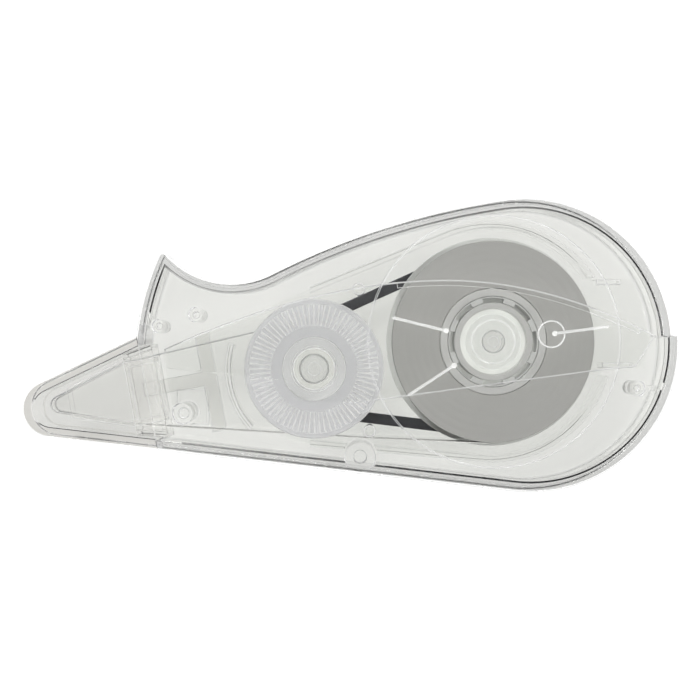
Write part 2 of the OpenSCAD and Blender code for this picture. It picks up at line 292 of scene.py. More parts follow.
def combine(target, cutters, operation):
    """Adds or cuts with solids, applies the result and removes them."""
    for cutter in cutters:
        modifier = target.modifiers.new("cut", "BOOLEAN")
        modifier.operation = operation
        modifier.solver = "MANIFOLD"
        modifier.object = cutter
        graph = bpy.context.evaluated_depsgraph_get()
        mesh = bpy.data.meshes.new_from_object(target.evaluated_get(graph))
        target.modifiers.clear()
        target.data = mesh
        bpy.data.objects.remove(cutter)
    smooth(target)
    return target


def add(target, *parts):
    return combine(target, parts, "UNION")


def cut(target, *parts):
    return combine(target, parts, "DIFFERENCE")


def paint_corner(obj, material):
    """Gives the front shell's inner corner the painted shade material."""
    points = [p for inset, _ in RELIEF for p in case_outline(inset)]
    rib_half = 0.4
    near = 0.02
    tree = KDTree(len(points))
    for i, (x, y) in enumerate(points):
        tree.insert((x, y, 0), i)
    tree.balance()
    low, high = RELIEF[0][1], RELIEF[-1][1]
    obj.data.materials.append(material)
    for face in obj.data.polygons:
        corners = [obj.data.vertices[i].co / MM for i in face.vertices]
        if any(not low - 0.01 < c.z < high + 0.01 for c in corners) or face.normal.z < -0.99:
            continue
        centre = face.center / MM
        if centre.x < SHADE_FROM[0] and centre.y < SHADE_FROM[1]:
            continue
        if centre.x > PEGS[4][0] and abs(centre.y - PEGS[4][1]) < rib_half:
            continue
        if sum(tree.find((c.x, c.y, 0))[2] < near for c in corners) >= 2:
            face.material_index = 1


def paint(obj, material, where):
    """Gives the faces that where(face, centre) picks another material."""
    obj.data.materials.append(material)
    index = len(obj.data.materials) - 1
    for face in obj.data.polygons:
        if where(face, face.center / MM):
            face.material_index = index


def paint_rim(obj, *levels, material=None):
    """Gives the flat faces over the walls, at these heights, a painted shade for the light lost in
    the deep plastic.
    """
    most_corners = 8
    paint(obj, material or RIM_SHADE, lambda face, c: len(face.vertices) <= most_corners
          and abs(face.normal.z) > 0.99 and any(abs(c.z - z) < 0.01 for z in levels))


def mouth_side(c):
    """How far a point lies behind the mouth plane."""
    a = radians(NOSE_TILT)
    return (c.x - MOUTH[0]) * cos(a) + (c.y - MOUTH[1]) * sin(a)


def soften_outline(obj, z0, z1, r):
    """Paints the outer rounding of a clear shell with a soft grey painted shade, and its cut mouth
    with a painted highlight, for the light that they scatter.
    """
    paint_edge_light_and_shade(obj, lambda c: (c.z < z0 + r or c.z > z1 - r), material=EDGE_SHADE)
    paint(obj, RIB_HIGHLIGHT, lambda face, c: abs(face.normal.z) < 0.5
          and -0.3 < mouth_side(c) < 0.4 and c.y < SHADE_FROM[1])


def paint_edge_light_and_shade(obj, where=None, low=0.04, high=0.985, material=None):
    """Paints rounded edges: by default with a painted highlight, the bright, slightly milky look of
    a moulded edge; with another material, that material's painted shade instead.
    """
    obj.data.materials.append(material or EDGE_GLINT)
    index = len(obj.data.materials) - 1
    for face in obj.data.polygons:
        if low < abs(face.normal.z) < high and (where is None or where(face.center / MM)):
            face.material_index = index


def off_axis(c, centre):
    return hypot(c.x - centre[0], c.y - centre[1])


def in_ridge(c):
    return RIDGE_R - 0.1 < off_axis(c, SUPPLY) < RIDGE_R + RIDGE_W + 0.1


def near_peg(c):
    return any(off_axis(c, peg) < peg[2] + 0.2 for peg in PEGS)


def join(name, parts):
    """One object from several separate solids."""
    merged = bmesh.new()
    for part in parts:
        merged.from_mesh(part.data)
        bpy.data.objects.remove(part)
    mesh = bpy.data.meshes.new(name)
    merged.to_mesh(mesh)
    merged.free()
    obj = bpy.data.objects.new(name, mesh)
    bpy.context.scene.collection.objects.link(obj)
    smooth(obj)
    return obj


def piece(obj, body, slot, material, *nodes):
    obj.data.materials.clear()
    obj.data.materials.append(material)
    obj.visible_shadow = material not in CLEAR
    normals = obj.modifiers.new("flat_faces", "WEIGHTED_NORMAL")
    normals.mode = "FACE_AREA"
    normals.keep_sharp = True
    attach(obj, body)
    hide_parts(*nodes)


# ---------------------------------------------------------------- materials
CLEAR = []


class Nodes:
    """A material's node tree, with short calls for what most of these materials need."""

    def __init__(self, name):
        self.material = bpy.data.materials.new(name)
        self.material.use_nodes = True
        self.tree = self.material.node_tree
        self.shader = self.tree.nodes["Principled BSDF"]
        self.coords = self.tree.nodes.new("ShaderNodeTexCoord").outputs["Object"]

    def node(self, kind, **inputs):
        made = self.tree.nodes.new(kind)
        for key, value in inputs.items():
            self.put(made.inputs[key.replace("_", " ")], value)
        return made

    def put(self, socket, value):
        if isinstance(value, bpy.types.NodeSocket):
            self.tree.links.new(value, socket)
        else:
            socket.default_value = value

    def noise(self, scale, detail=3.0, rough=0.55):
        made = self.node("ShaderNodeTexNoise", Vector=self.coords, Scale=scale, Detail=detail,
                         Roughness=rough)
        return made.outputs["Fac"]

    def mix(self, factor, first, second):
        made = self.tree.nodes.new("ShaderNodeMix")
        made.data_type = "RGBA"
        self.put(made.inputs[0], factor)
        self.put(made.inputs[6], (*first, 1.0) if isinstance(first, tuple) else first)
        self.put(made.inputs[7], (*second, 1.0) if isinstance(second, tuple) else second)
        return made.outputs[2]

    def maths(self, operation, first, second, clamp=False):
        made = self.tree.nodes.new("ShaderNodeMath")
        made.operation = operation
        made.use_clamp = clamp
        self.put(made.inputs[0], first)
        self.put(made.inputs[1], second)
        return made.outputs[0]

    def ramp(self, value, start, end, low=0.0, high=1.0):
        """Goes from low to high while value goes from start to end."""
        made = self.node("ShaderNodeMapRange", Value=value)
        made.inputs["From Min"].default_value = start
        made.inputs["From Max"].default_value = end
        made.inputs["To Min"].default_value = low
        made.inputs["To Max"].default_value = high
        return made.outputs["Result"]

    def remap(self, noise, low, high):
        """Spreads the middle of a noise over low to high."""
        return self.ramp(noise, 0.3, 0.7, low, high)

    def bump(self, height, strength, distance):
        made = self.node("ShaderNodeBump", Height=height, Strength=strength, Distance=distance)
        self.put(self.shader.inputs["Normal"], made.outputs["Normal"])

    def set(self, **inputs):
        for key, value in inputs.items():
            self.put(self.shader.inputs[key.replace("_", " ")], value)


def clear_plastic(name, tint, deep_tint, roughness, waviness=0.05, transmission=1.0, ior=1.57):
    """Moulded polystyrene: clear, with faint flow waves and a slight drift of tint and gloss.
    The colour is darker towards the belt's lower run."""
    n = Nodes(name)
    place = n.node("ShaderNodeSeparateXYZ", Vector=n.coords)
    down = n.ramp(place.outputs["Y"], END_R * MM, -0.8 * END_R * MM)
    drift = n.maths("ADD", down, n.remap(n.noise(45.0), -0.15, 0.15), clamp=True)
    fine = n.noise(900.0, 4.0)
    n.set(Base_Color=n.mix(drift, tint, deep_tint),
          Roughness=n.remap(fine, roughness * 0.6, roughness * 1.6))
    n.set(Transmission_Weight=transmission, IOR=ior, Specular_IOR_Level=0.5)
    n.bump(n.noise(120.0, 1.5), waviness, 0.0004)
    CLEAR.append(n.material)
    return n.material


def corner_shade(name):
    """Painted shade for the inner corner of the case, where the wall turns the light away: dark
    round the rear end and along the bottom, fading towards the finger rest."""
    n = Nodes(name)
    place = n.node("ShaderNodeSeparateXYZ", Vector=n.coords)
    along = n.maths("SUBTRACT", place.outputs["X"], place.outputs["Y"])
    tail = n.ramp(along, -50 * MM, 18 * MM)
    front = n.ramp(place.outputs["X"], -25.5 * MM, -28 * MM)
    wobble = n.remap(n.noise(60.0), -0.08, 0.08)
    share = n.maths("ADD", n.maths("MAXIMUM", tail, front), wobble, clamp=True)
    n.set(Base_Color=n.mix(share, (0.80, 0.80, 0.79), (0.01, 0.01, 0.012)))
    n.set(Roughness=n.remap(n.noise(800.0), 0.1, 0.2), Transmission_Weight=0.3, IOR=1.57,
          Specular_IOR_Level=0.1)
    CLEAR.append(n.material)
    return n.material


def satin_plastic(name, colour, shade, roughness, grain=0.12, transmission=0.0):
    """Moulded plastic with a fine spark-eroded grain."""
    n = Nodes(name)
    drift = n.noise(120.0)
    fine = n.noise(5200.0, 2.0)
    n.set(Base_Color=n.mix(drift, colour, shade),
          Roughness=n.remap(n.noise(700.0), roughness * 0.8, roughness * 1.2))
    n.set(Specular_IOR_Level=0.45, Transmission_Weight=transmission, IOR=1.5)
    n.bump(fine, grain, 0.00004)
    if transmission:
        CLEAR.append(n.material)
    return n.material


def wound_edge(name, colour, shade, centre, pitch):
    """The edge of a tight winding: fine rings about the reel's axis."""
    n = Nodes(name)
    offset = n.node("ShaderNodeVectorMath", Vector=n.coords)
    offset.operation = "SUBTRACT"
    offset.inputs[1].default_value = (centre[0] * MM, centre[1] * MM, 0.0)
    flat = n.node("ShaderNodeVectorMath", Vector=offset.outputs["Vector"])
    flat.operation = "MULTIPLY"
    flat.inputs[1].default_value = (1.0, 1.0, 0.0)
    radius = n.node("ShaderNodeVectorMath", Vector=flat.outputs["Vector"])
    radius.operation = "LENGTH"
    turns = n.maths("MULTIPLY", radius.outputs["Value"], 1.0 / (pitch * MM))
    along = n.node("ShaderNodeCombineXYZ", X=turns)
    rings = n.node("ShaderNodeTexNoise", Vector=along.outputs["Vector"], Scale=1.0, Detail=3.0,
                   Roughness=0.6).outputs["Fac"]
    n.set(Base_Color=n.mix(rings, colour, shade), Roughness=n.remap(rings, 0.42, 0.6))
    n.set(Specular_IOR_Level=0.4)
    n.bump(rings, 0.25, 0.00006)
    return n.material


def film(name, colour, shade, transmission, roughness):
    """Thin tape or liner: matt coated film with faint streaks along it."""
    n = Nodes(name)
    stretch = n.node("ShaderNodeMapping", Vector=n.coords)
    stretch.inputs["Scale"].default_value = (60.0, 60.0, 1400.0)
    streaks = n.node("ShaderNodeTexNoise", Vector=stretch.outputs["Vector"], Scale=1.0,
                     Detail=3.0).outputs["Fac"]
    n.set(Base_Color=n.mix(streaks, colour, shade),
          Roughness=n.remap(streaks, roughness * 0.8, roughness * 1.2))
    n.set(Transmission_Weight=transmission, IOR=1.45)
    n.bump(streaks, 0.1, 0.00003)
    return n.material


def rubber(name):
    n = Nodes(name)
    speck = n.noise(3200.0, 3.0)
    n.set(Base_Color=n.mix(n.noise(300.0), (0.022, 0.023, 0.027), (0.04, 0.041, 0.046)),
          Roughness=n.remap(speck, 0.45, 0.7))
    n.set(Specular_IOR_Level=0.4)
    n.bump(speck, 0.3, 0.00005)
    return n.material


def floor_material():
    """Pale sheet on a light table: it glows by itself, and dims beyond its edge in reflections."""
    n = Nodes("pale_sheet")
    n.set(Base_Color=n.mix(n.noise(30.0), (0.17, 0.17, 0.17), (0.19, 0.19, 0.19)))
    n.set(Roughness=n.remap(n.noise(400.0), 0.7, 0.9), Specular_IOR_Level=0.0)
    reach = n.node("ShaderNodeVectorMath", Vector=n.coords)
    reach.operation = "LENGTH"
    fade = n.ramp(reach.outputs["Value"], SHEET_R, SHEET_R * 1.6, 1.0, 0.06)
    seen = n.node("ShaderNodeLightPath").outputs["Is Camera Ray"]
    glow = n.maths("MULTIPLY", n.maths("MAXIMUM", fade, seen), FLOOR_GLOW)
    n.set(Emission_Color=(1.0, 1.0, 1.0, 1.0), Emission_Strength=glow)
    return n.material


FLOOR_GLOW = 0.9
SHEET_R = 110 * MM
CLEAR_CASE = clear_plastic("clear_case", (0.955, 0.957, 0.94), (0.93, 0.933, 0.915), 0.01)
CORNER_SHADE = corner_shade("corner_shade")
CLEAR_CAP = clear_plastic("clear_cap", (0.87, 0.87, 0.855), (0.85, 0.85, 0.835), 0.02,
                          0.05, 1.0, 1.38)
CLEAR_INNER = clear_plastic("clear_inner", (0.985, 0.987, 0.982), (0.965, 0.97, 0.962), 0.02,
                            0.05, 1.0, 1.3)
CLEAR_NOSE = clear_plastic("clear_nose", (0.92, 0.92, 0.91), (0.90, 0.90, 0.89), 0.06, 0.05,
                           0.92, 1.25)
# painted highlight: bright, slightly milky faces on rounded edges, rib crests and spoke ends
EDGE_GLINT = clear_plastic("edge_glint", (0.98, 0.98, 0.98), (0.95, 0.95, 0.95), 0.12, 0.05,
                           0.25, 1.45)
# painted shade on the flat faces over the walls of the case and of the cap
RIM_SHADE = clear_plastic("rim_shade", (0.79, 0.79, 0.79), (0.75, 0.75, 0.745), 0.03)
CAP_RIM_SHADE = clear_plastic("cap_rim_shade", (0.71, 0.70, 0.67), (0.67, 0.66, 0.63), 0.03)
BAR_TONE = clear_plastic("bar_tone", (0.92, 0.92, 0.91), (0.90, 0.90, 0.89), 0.03, 0.05, 1.0,
                         1.3)
# painted soft grey shade on the outer rounding of the shells and the cap
EDGE_SHADE = clear_plastic("edge_shade", (0.87, 0.87, 0.87), (0.84, 0.84, 0.84), 0.2, 0.02, 0.45,
                          1.45)
# painted highlight for the ribs, the ridge, the bosses' edges and the mouth faces
RIB_HIGHLIGHT = clear_plastic("rib_highlight", (0.98, 0.98, 0.99), (0.95, 0.95, 0.96), 0.15, 0.02, 0.45,
                          1.45)
FROSTED = clear_plastic("frosted_reel", (0.72, 0.72, 0.735), (0.70, 0.70, 0.715), 0.15, 0.02,
                        0.5)
FROSTED_HUB = clear_plastic("frosted_hub", (0.95, 0.95, 0.965), (0.92, 0.92, 0.935), 0.12, 0.02,
                            0.7)
OLIVE = clear_plastic("olive_washer", (0.85, 0.855, 0.825), (0.82, 0.825, 0.795), 0.1, 0.05,
                      0.7)
WHITE_HUB = satin_plastic("white_hub", (0.80, 0.81, 0.79), (0.74, 0.75, 0.73), 0.35,
                          transmission=0.2)
# also the painted shade ring round the posts' tops and the take-up washer's bore
CLUTCH_GREY_AND_POST_SHADE = satin_plastic("grey_clutch", (0.62, 0.625, 0.615), (0.56, 0.565, 0.555), 0.4)
GREY_CORE = satin_plastic("grey_core", (0.60, 0.60, 0.59), (0.53, 0.53, 0.52), 0.35)
WOUND_TAPE = wound_edge("wound_tape", (0.43, 0.428, 0.415), (0.385, 0.382, 0.37), SUPPLY, 0.12)
USED_LINER = wound_edge("used_liner", (0.50, 0.50, 0.51), (0.42, 0.42, 0.43), TAKE_UP, 0.15)
LINER_FILM = film("liner_film", (0.86, 0.87, 0.88), (0.80, 0.81, 0.82), 0.6, 0.3)
FRESH_TAPE = film("fresh_tape", (0.86, 0.86, 0.84), (0.80, 0.80, 0.78), 0.0, 0.55)
BELT = rubber("belt_rubber")


# ---------------------------------------------------------------- camera, light and floor
VIEW_X = -0.11
VIEW_Y = -0.73
CAMERA_ABOVE_FACE = 283.0
VIEW_WIDTH = 102.2
SENSOR = 36.0


def make_camera():
    data = bpy.data.cameras.new("camera")
    data.sensor_width = SENSOR
    data.lens = SENSOR * CAMERA_ABOVE_FACE / VIEW_WIDTH
    data.clip_start = 0.01
    camera = bpy.data.objects.new("camera", data)
    camera.location = (VIEW_X * MM, VIEW_Y * MM, (CASE_T + CAMERA_ABOVE_FACE) * MM)
    bpy.context.scene.collection.objects.link(camera)
    bpy.context.scene.camera = camera


def make_world():
    """A pale studio: bright overhead, falling to a dim band near the horizon."""
    world = bpy.data.worlds.new("studio")
    bpy.context.scene.world = world
    world.use_nodes = True
    tree = world.node_tree
    background = tree.nodes["Background"]
    coords = tree.nodes.new("ShaderNodeTexCoord")
    split = tree.nodes.new("ShaderNodeSeparateXYZ")
    ramp = tree.nodes.new("ShaderNodeValToRGB")
    tree.links.new(coords.outputs["Generated"], split.inputs["Vector"])
    tree.links.new(split.outputs["Z"], ramp.inputs["Fac"])
    stops = [(0.0, 0.2), (0.14, 0.22), (0.34, 0.85), (0.93, 1.0), (0.975, 0.1)]
    elements = ramp.color_ramp.elements
    for i, (place, level) in enumerate(stops):
        stop = elements[i] if i < 2 else elements.new(place)
        stop.position = place
        stop.color = (level, level, level, 1.0)
    camera_ray = tree.nodes.new("ShaderNodeLightPath").outputs["Is Camera Ray"]
    mix = tree.nodes.new("ShaderNodeMix")
    mix.data_type = "RGBA"
    tree.links.new(camera_ray, mix.inputs[0])
    tree.links.new(ramp.outputs["Color"], mix.inputs[6])
    mix.inputs[7].default_value = (0.9, 0.9, 0.9, 1.0)
    tree.links.new(mix.outputs[2], background.inputs["Color"])
    background.inputs["Strength"].default_value = WORLD_STRENGTH


WORLD_STRENGTH = 1.05


def area_light(name, place, size, power):
    data = bpy.data.lights.new(name, "AREA")
    data.shape = "DISK"
    data.size = size
    data.energy = power
    light = bpy.data.objects.new(name, data)
    light.location = place
    light.rotation_euler = (-Vector(place)).to_track_quat("-Z", "Y").to_euler()
    bpy.context.scene.collection.objects.link(light)


def make_floor():
    half = 1.5
    mesh = bpy.data.meshes.new("floor")
    mesh.from_pydata([(-half, -half, 0), (half, -half, 0), (half, half, 0), (-half, half, 0)], [],
                     [(0, 1, 2, 3)])
    floor = bpy.data.objects.new("floor", mesh)
    floor.location.z = -0.0002
    bpy.context.scene.collection.objects.link(floor)
    mesh.materials.append(floor_material())


def make_studio():
    make_camera()
    make_world()
    make_floor()
    area_light("key", (-0.30, 0.40, 0.55), 0.16, 3.0)
    area_light("fill", (0.50, 0.10, 0.50), 0.16, 2.0)
    area_light("low", (-0.10, -0.50, 0.40), 0.16, 1.4)
    view = bpy.context.scene.view_settings
    view.view_transform = "Standard"
    view.look = "None"
    cycles = bpy.context.scene.cycles
    cycles.caustics_refractive = False
    cycles.caustics_reflective = False
    cycles.max_bounces = 24
    cycles.transmission_bounces = 24
    cycles.transparent_max_bounces = 24


# ---------------------------------------------------------------- case
EDGE_R = 0.3
INNER_EDGE_R = 0.3
TONGUE_H = 0.6
JOIN_GAP = 0.05
TONGUE_W = 0.55
SLIP = 0.1
RIDGE_R = 18.3
RIDGE_W = 0.3
PIN_FOOT = FACE_T + 2.4
# the shaded part of the inner corner lies behind or above this point
SHADE_FROM = (-24.0, 5.0)
# the front shell's inner corner, up to the face: inset and height of its profile
RELIEF = [(CASE_WALL, CASE_T - FACE_T - 1.4), (CASE_WALL, CASE_T - FACE_T - 0.3),
          (CASE_WALL + 0.09, CASE_T - FACE_T - 0.09), (CASE_WALL + 0.3, CASE_T - FACE_T)]


def behind_mouth():
    """The space in front of the mouth plane, to cut away."""
    corners = [(-30, -14), (0, -14), (0, 14), (-30, 14)]
    return prism("mouth_cut", [from_mouth(p) for p in corners], -1, CASE_T + 1)


def collar_way():
    """The way through the mouth, which the collar fills."""
    low, high, deep = -7.05, 7.25, 2.2
    corners = [(-1, low), (deep, low), (deep, high), (-1, high)]
    return prism("collar_cut", [from_mouth(p) for p in corners], FACE_T, CASE_T - FACE_T)


def ridge(z0, z1):
    """Thin round rib on the inside of a face, about the roll."""
    outer = RIDGE_R + RIDGE_W
    return revolve("ridge", SUPPLY, [(RIDGE_R, z0), (outer, z0), (outer, z1), (RIDGE_R, z1)],
                   soft=0.08)


def rear_shell():
    shell = rounded_slab("rear_shell_body", case_outline, 0, PART_Z - JOIN_GAP, EDGE_R, 0.0,
                         rim=CASE_WALL)
    tongue = rounded_slab("tongue", case_outline, PART_Z - 0.1, PART_Z + TONGUE_H, 0.0, 0.12,
                          base=CASE_WALL - TONGUE_W)
    hollow = rounded_slab("hollow", case_outline, FACE_T, CASE_T, INNER_EDGE_R, 0.0,
                          base=CASE_WALL)
    add(shell, tongue)
    room = [cylinder("room", x, y, r + SLIP, PART_Z - JOIN_GAP, CASE_T, 0.0)
            for x, y, r, _ in PEGS]
    cut(shell, hollow, behind_mouth(), collar_way(), *room)
    for x, y, r, pin in PEGS:
        boss = cylinder("boss", x, y, r, FACE_T - 0.2, PART_Z - JOIN_GAP)
        cut(boss, cylinder("bore", x, y, pin + RUN, FACE_T + 2, CASE_T, 0.05))
        add(shell, boss)
    start, end = PEGS[4][0] + 0.9, 46.6
    low, high = PEGS[4][1] - 0.35, PEGS[4][1] + 0.35
    rib = [(start, low), (end, low), (end, high), (start, high)]
    add(shell, prism("rib", rib, FACE_T - 0.1, FACE_T + 4, 0.08))
    piece(shell, "case", "clear_case", CLEAR_CASE, "rear_shell")
    # painted shade on the rim and the outer rounding; painted highlight on the mouth faces
    paint_rim(shell, 0.0)
    soften_outline(shell, 0, 2 * CASE_T, EDGE_R)


def front_shell():
    shell = rounded_slab("front_shell_body", case_outline, PART_Z, CASE_T, 0.0, EDGE_R,
                         rim=CASE_WALL)
    hollow = loft("hollow", [[(x, y, z) for x, y in case_outline(inset)]
                             for inset, z in [(CASE_WALL, PART_Z - 1)] + RELIEF])
    groove = rounded_slab("groove", case_outline, PART_Z - 1, PART_Z + TONGUE_H + SLIP, 0.0, 0.1,
                          base=CASE_WALL - TONGUE_W - SLIP)
    cut(shell, hollow, groove, behind_mouth(), collar_way())
    for x, y, r, pin in PEGS:
        boss = cylinder("boss", x, y, r, PART_Z + SLIP, CASE_T - FACE_T + 0.2)
        add(boss, cylinder("pin", x, y, pin, PIN_FOOT, PART_Z + 2))
        add(shell, boss)
    add(shell, ridge(CASE_T - FACE_T - 0.35, CASE_T - FACE_T + 0.2))
    piece(shell, "case", "clear_case", CLEAR_CASE, "front_shell")
    # painted shade in the inner corner, on the rim and on the outer rounding; painted highlights on
    # the ridge, the mouth faces and the bosses' edges
    paint_corner(shell, CORNER_SHADE)
    paint_edge_light_and_shade(shell, lambda c: PART_Z + 2 < c.z < CASE_T - FACE_T + 0.1 and in_ridge(c),
                material=RIB_HIGHLIGHT)
    paint_rim(shell, CASE_T)
    soften_outline(shell, -1, CASE_T, EDGE_R)
    paint_edge_light_and_shade(shell, lambda c: near_peg(c) and c.z < CASE_T - FACE_T, material=RIB_HIGHLIGHT)


# ---------------------------------------------------------------- nose
CAP_LINE_FROM = -16.5


def nose_cap():
    def outer(d):
        return [from_mouth(p) for p in taper(CAP_C, CAP_NOSE_R - d, CAP_UP, CAP_DOWN, 3.0)]

    def inner(d):
        return outer(CAP_WALL + d)

    soft = 0.15
    ceiling = CASE_T - CAP_DROP - FACE_T
    cap = rounded_slab("nose_cap_body", outer, CAP_DROP, CASE_T - CAP_DROP, soft, soft,
                       rim=CAP_WALL)
    hollow = rounded_slab("hollow", inner, CAP_DROP + FACE_T, ceiling, soft, soft)
    rim = [(-CAP_GAP, -14), (6, -14), (6, 14), (-CAP_GAP, 14)]
    cut(cap, hollow, prism("rim_cut", [from_mouth(p) for p in rim], -1, CASE_T + 1))
    piece(cap, "cap", "clear_cap", CLEAR_CAP, "nose_cap")
    # painted shade on the cap's rim faces and outer rounding, and a painted shade line along its
    # hollow's rounding
    paint_rim(cap, CAP_DROP, CASE_T - CAP_DROP, material=CAP_RIM_SHADE)
    paint_edge_light_and_shade(cap, lambda c: c.z < CAP_DROP + soft or c.z > CASE_T - CAP_DROP - soft,
                material=EDGE_SHADE)
    paint_edge_light_and_shade(cap, lambda c: ceiling - soft < c.z < ceiling and mouth_side(c) > CAP_LINE_FROM,
                material=CORNER_SHADE)


def nose_collar():
    low, high = FACE_T + 0.8, CASE_T - FACE_T - 0.8
    outer = [(SHOULDER_X, -5.75), (COLLAR_END, -6.9), (COLLAR_END, 7.1), (SHOULDER_X, 6.35)]
    inner = [(SHOULDER_X - 1, -4.8), (COLLAR_END + 1, -6.45), (COLLAR_END + 1, 6.57),
             (SHOULDER_X - 1, 5.48)]
    collar = prism("nose_collar_ring", [from_mouth(p) for p in outer], low, high, 0.25)
    cut(collar, prism("inside", [from_mouth(p) for p in inner], low + 0.5, high - 0.5, 0.2))
    piece(collar, "case", "clear_inner", CLEAR_NOSE, "nose_collar")


def applicator_head():
    low, high = TAPE_Z - 0.1, TAPE_Z + TAPE_W + 0.1
    cheek = 0.6

    def wedge(grow, x):
        return lambda d: [from_mouth(p) for p in
                          taper(TIP_C, TIP_R + grow - d, TIP_UP, TIP_DOWN, x - d)]

    root = [(SHOULDER_X - 0.2, -3.6), (COLLAR_END, -3.6), (COLLAR_END, 4.4),
            (SHOULDER_X - 0.2, 4.4)]
    head = rounded_slab("applicator_head_wedge", wedge(0, SHOULDER_X), low, high, 0.1, 0.1)
    add(head, prism("root", [from_mouth(p) for p in root], low, high, 0.1))
    for z in (low - cheek, high - 0.02):
        side = rounded_slab("cheek", wedge(0.5, SHOULDER_X), z, z + cheek + 0.02, 0.12, 0.12)
        front = [(-30, -14), (TIP_C[0] + 1.6, -14), (TIP_C[0] + 1.6, 14), (-30, 14)]
        cut(side, prism("front", [from_mouth(p) for p in front], z - 1, z + 2))
        block = [(SHOULDER_X - 0.1, -4.4), (COLLAR_END, -4.4), (COLLAR_END, 5.1),
                 (SHOULDER_X - 0.1, 5.1)]
        add(side, prism("block", [from_mouth(p) for p in block], z, z + cheek + 0.02, 0.12))
        add(head, side)
    stem = [(COLLAR_END - 3, -0.45), (7.8, -0.45), (7.8, 1.65), (COLLAR_END - 3, 1.65)]
    bar = [(7.6, -7.6), (9.8, -7.6), (9.8, 7.4), (7.6, 7.4)]
    riser_end = 2 * COLLAR_END - 1.8
    riser = [(COLLAR_END - 3, -0.45), (riser_end, -0.45), (riser_end, 1.65),
             (COLLAR_END - 3, 1.65)]
    anchor = prism("stem", [from_mouth(p) for p in stem], PULLEY_Z, PULLEY_Z + 1.7, 0.1)
    add(anchor, prism("bar", [from_mouth(p) for p in bar], PULLEY_Z, PULLEY_Z + 1.7, 0.15))
    add(anchor, prism("riser", [from_mouth(p) for p in riser], PULLEY_Z + 0.2, low + 0.1, 0.1))
    add(head, anchor)
    piece(head, "case", "clear_inner", CLEAR_NOSE, "applicator_head")
    # painted highlights on the rounded edges
    paint_edge_light_and_shade(head)
    paint(head, BAR_TONE, lambda face, c: abs(face.normal.z) > 0.97 and c.z < PULLEY_Z + 1.8)


# ---------------------------------------------------------------- reels
def drive_pulley():
    groove_r = SUPPLY_BELT_R - BELT_S / 2 - RUN
    web_z = FLANGE_Z + 3.8
    inner = HUB_R - 0.85
    post = POST_SUPPLY_R + RUN
    top = TAPE_Z + TAPE_W + 0.3
    profile = [(post, PULLEY_Z), (2.6, PULLEY_Z), (2.6, web_z), (inner, web_z),
               (inner, FLANGE_Z), (groove_r - 0.85, FLANGE_Z), (groove_r - 0.85, PULLEY_Z),
               (15.6, PULLEY_Z), (15.6, GROOVE_Z), (groove_r, GROOVE_Z), (groove_r, FLANGE_Z),
               (15.6, FLANGE_Z), (15.6, FLANGE_Z + 0.5), (HUB_R, FLANGE_Z + 0.5),
               (HUB_R, top), (inner, top), (inner, web_z + 0.8), (post, web_z + 0.8)]
    pulley = revolve("drive_pulley_wheel", SUPPLY, profile)
    piece(pulley, "pulley", "white_hub", WHITE_HUB, "drive_pulley")
    paint(pulley, GREY_CORE, lambda face, c: c.z > FLANGE_Z + 0.6
          and off_axis(c, SUPPLY) > inner - 0.3)


FINGERS = 8


def clutch_ring():
    low, high = TAPE_Z - 0.15, TAPE_Z + TAPE_W + 0.15
    finger_h = 2.2
    half = 8.5
    ring_in = CORE_IN_R - 0.25
    ring_out = CORE_IN_R - RUN
    ring = revolve("clutch_ring_body", SUPPLY,
                   [(ring_in, low), (ring_out, low), (ring_out, high), (ring_in, high)],
                   soft=0.06)
    fingers = []
    for k in range(FINGERS):
        middle = 360 * (k + 0.5) / FINGERS
        outer = arc(SUPPLY, ring_in + RUN, middle - half, middle + half, 6)
        inner = arc(SUPPLY, HUB_R + 0.1, middle + half, middle - half, 6)
        fingers.append(prism("finger", outer + inner, high - finger_h, high, 0.08))
    piece(join("clutch_ring_fingers", [ring] + fingers), "roll", "grey_clutch", CLUTCH_GREY_AND_POST_SHADE,
          "clutch_ring")


def supply_core():
    low, high = TAPE_Z - 0.15, TAPE_Z + TAPE_W + 0.15
    core = revolve("supply_core_tube", SUPPLY, [(CORE_IN_R, low), (CORE_R, low),
                                                (CORE_R, high), (CORE_IN_R, high)], soft=0.18)
    piece(core, "roll", "grey_core", GREY_CORE, "supply_core")


def tape_roll():
    low, high = TAPE_Z, TAPE_Z + TAPE_W
    inner = CORE_R + RUN
    steps = [(inner, low), (ROLL_R, low), (ROLL_R, high)]
    rings = 12
    for k in range(rings):
        r = ROLL_R - (ROLL_R - inner) * (k + 0.5) / rings
        steps.append((r, high - (0.03 if k % 2 else 0.0)))
    steps.append((inner, high))
    piece(revolve("tape_roll_winding", SUPPLY, steps, soft=0.05), "roll", "wound_tape",
          WOUND_TAPE, "tape_roll")


def supply_retainer():
    z = FLANGE_Z + 4.9
    bore = POST_SUPPLY_R + 0.02
    profile = [(bore, z), (2.9, z), (2.9, z + 0.6), (4.1, z + 0.6), (4.1, z + 1.05),
               (3.3, z + 1.05), (3.1, z + 1.2), (bore, z + 1.2)]
    washer = revolve("supply_retainer_ring", SUPPLY, profile, soft=0.08)
    piece(washer, "case", "white_hub", WHITE_HUB, "supply_retainer")
    # painted highlights on the washer's rounded edges
    paint_edge_light_and_shade(washer)


def take_up_reel():
    groove_r = TAKE_UP_BELT_R - BELT_S / 2 - RUN
    bore = POST_TAKE_UP_R + RUN
    top = BRIDGE_Z - 0.2
    profile = [(bore, PULLEY_Z), (7.4, PULLEY_Z), (7.4, GROOVE_Z), (groove_r, GROOVE_Z),
               (groove_r, FLANGE_Z), (10, FLANGE_Z), (10, FLANGE_Z + 0.6),
               (4.7, FLANGE_Z + 0.6), (4.7, top), (3.3, top), (3.3, top - 1.1),
               (bore, top - 1.1)]
    reel = revolve("take_up_reel_hub", TAKE_UP, profile)
    piece(reel, "take_up", "frosted_reel", FROSTED_HUB, "take_up_reel")
    # painted highlights on the hub's rounded top edges
    paint_edge_light_and_shade(reel, lambda c: c.z > TAPE_Z + TAPE_W)


RIBS = 72
RIB_IN = 6.4
RIB_OUT = 9.5


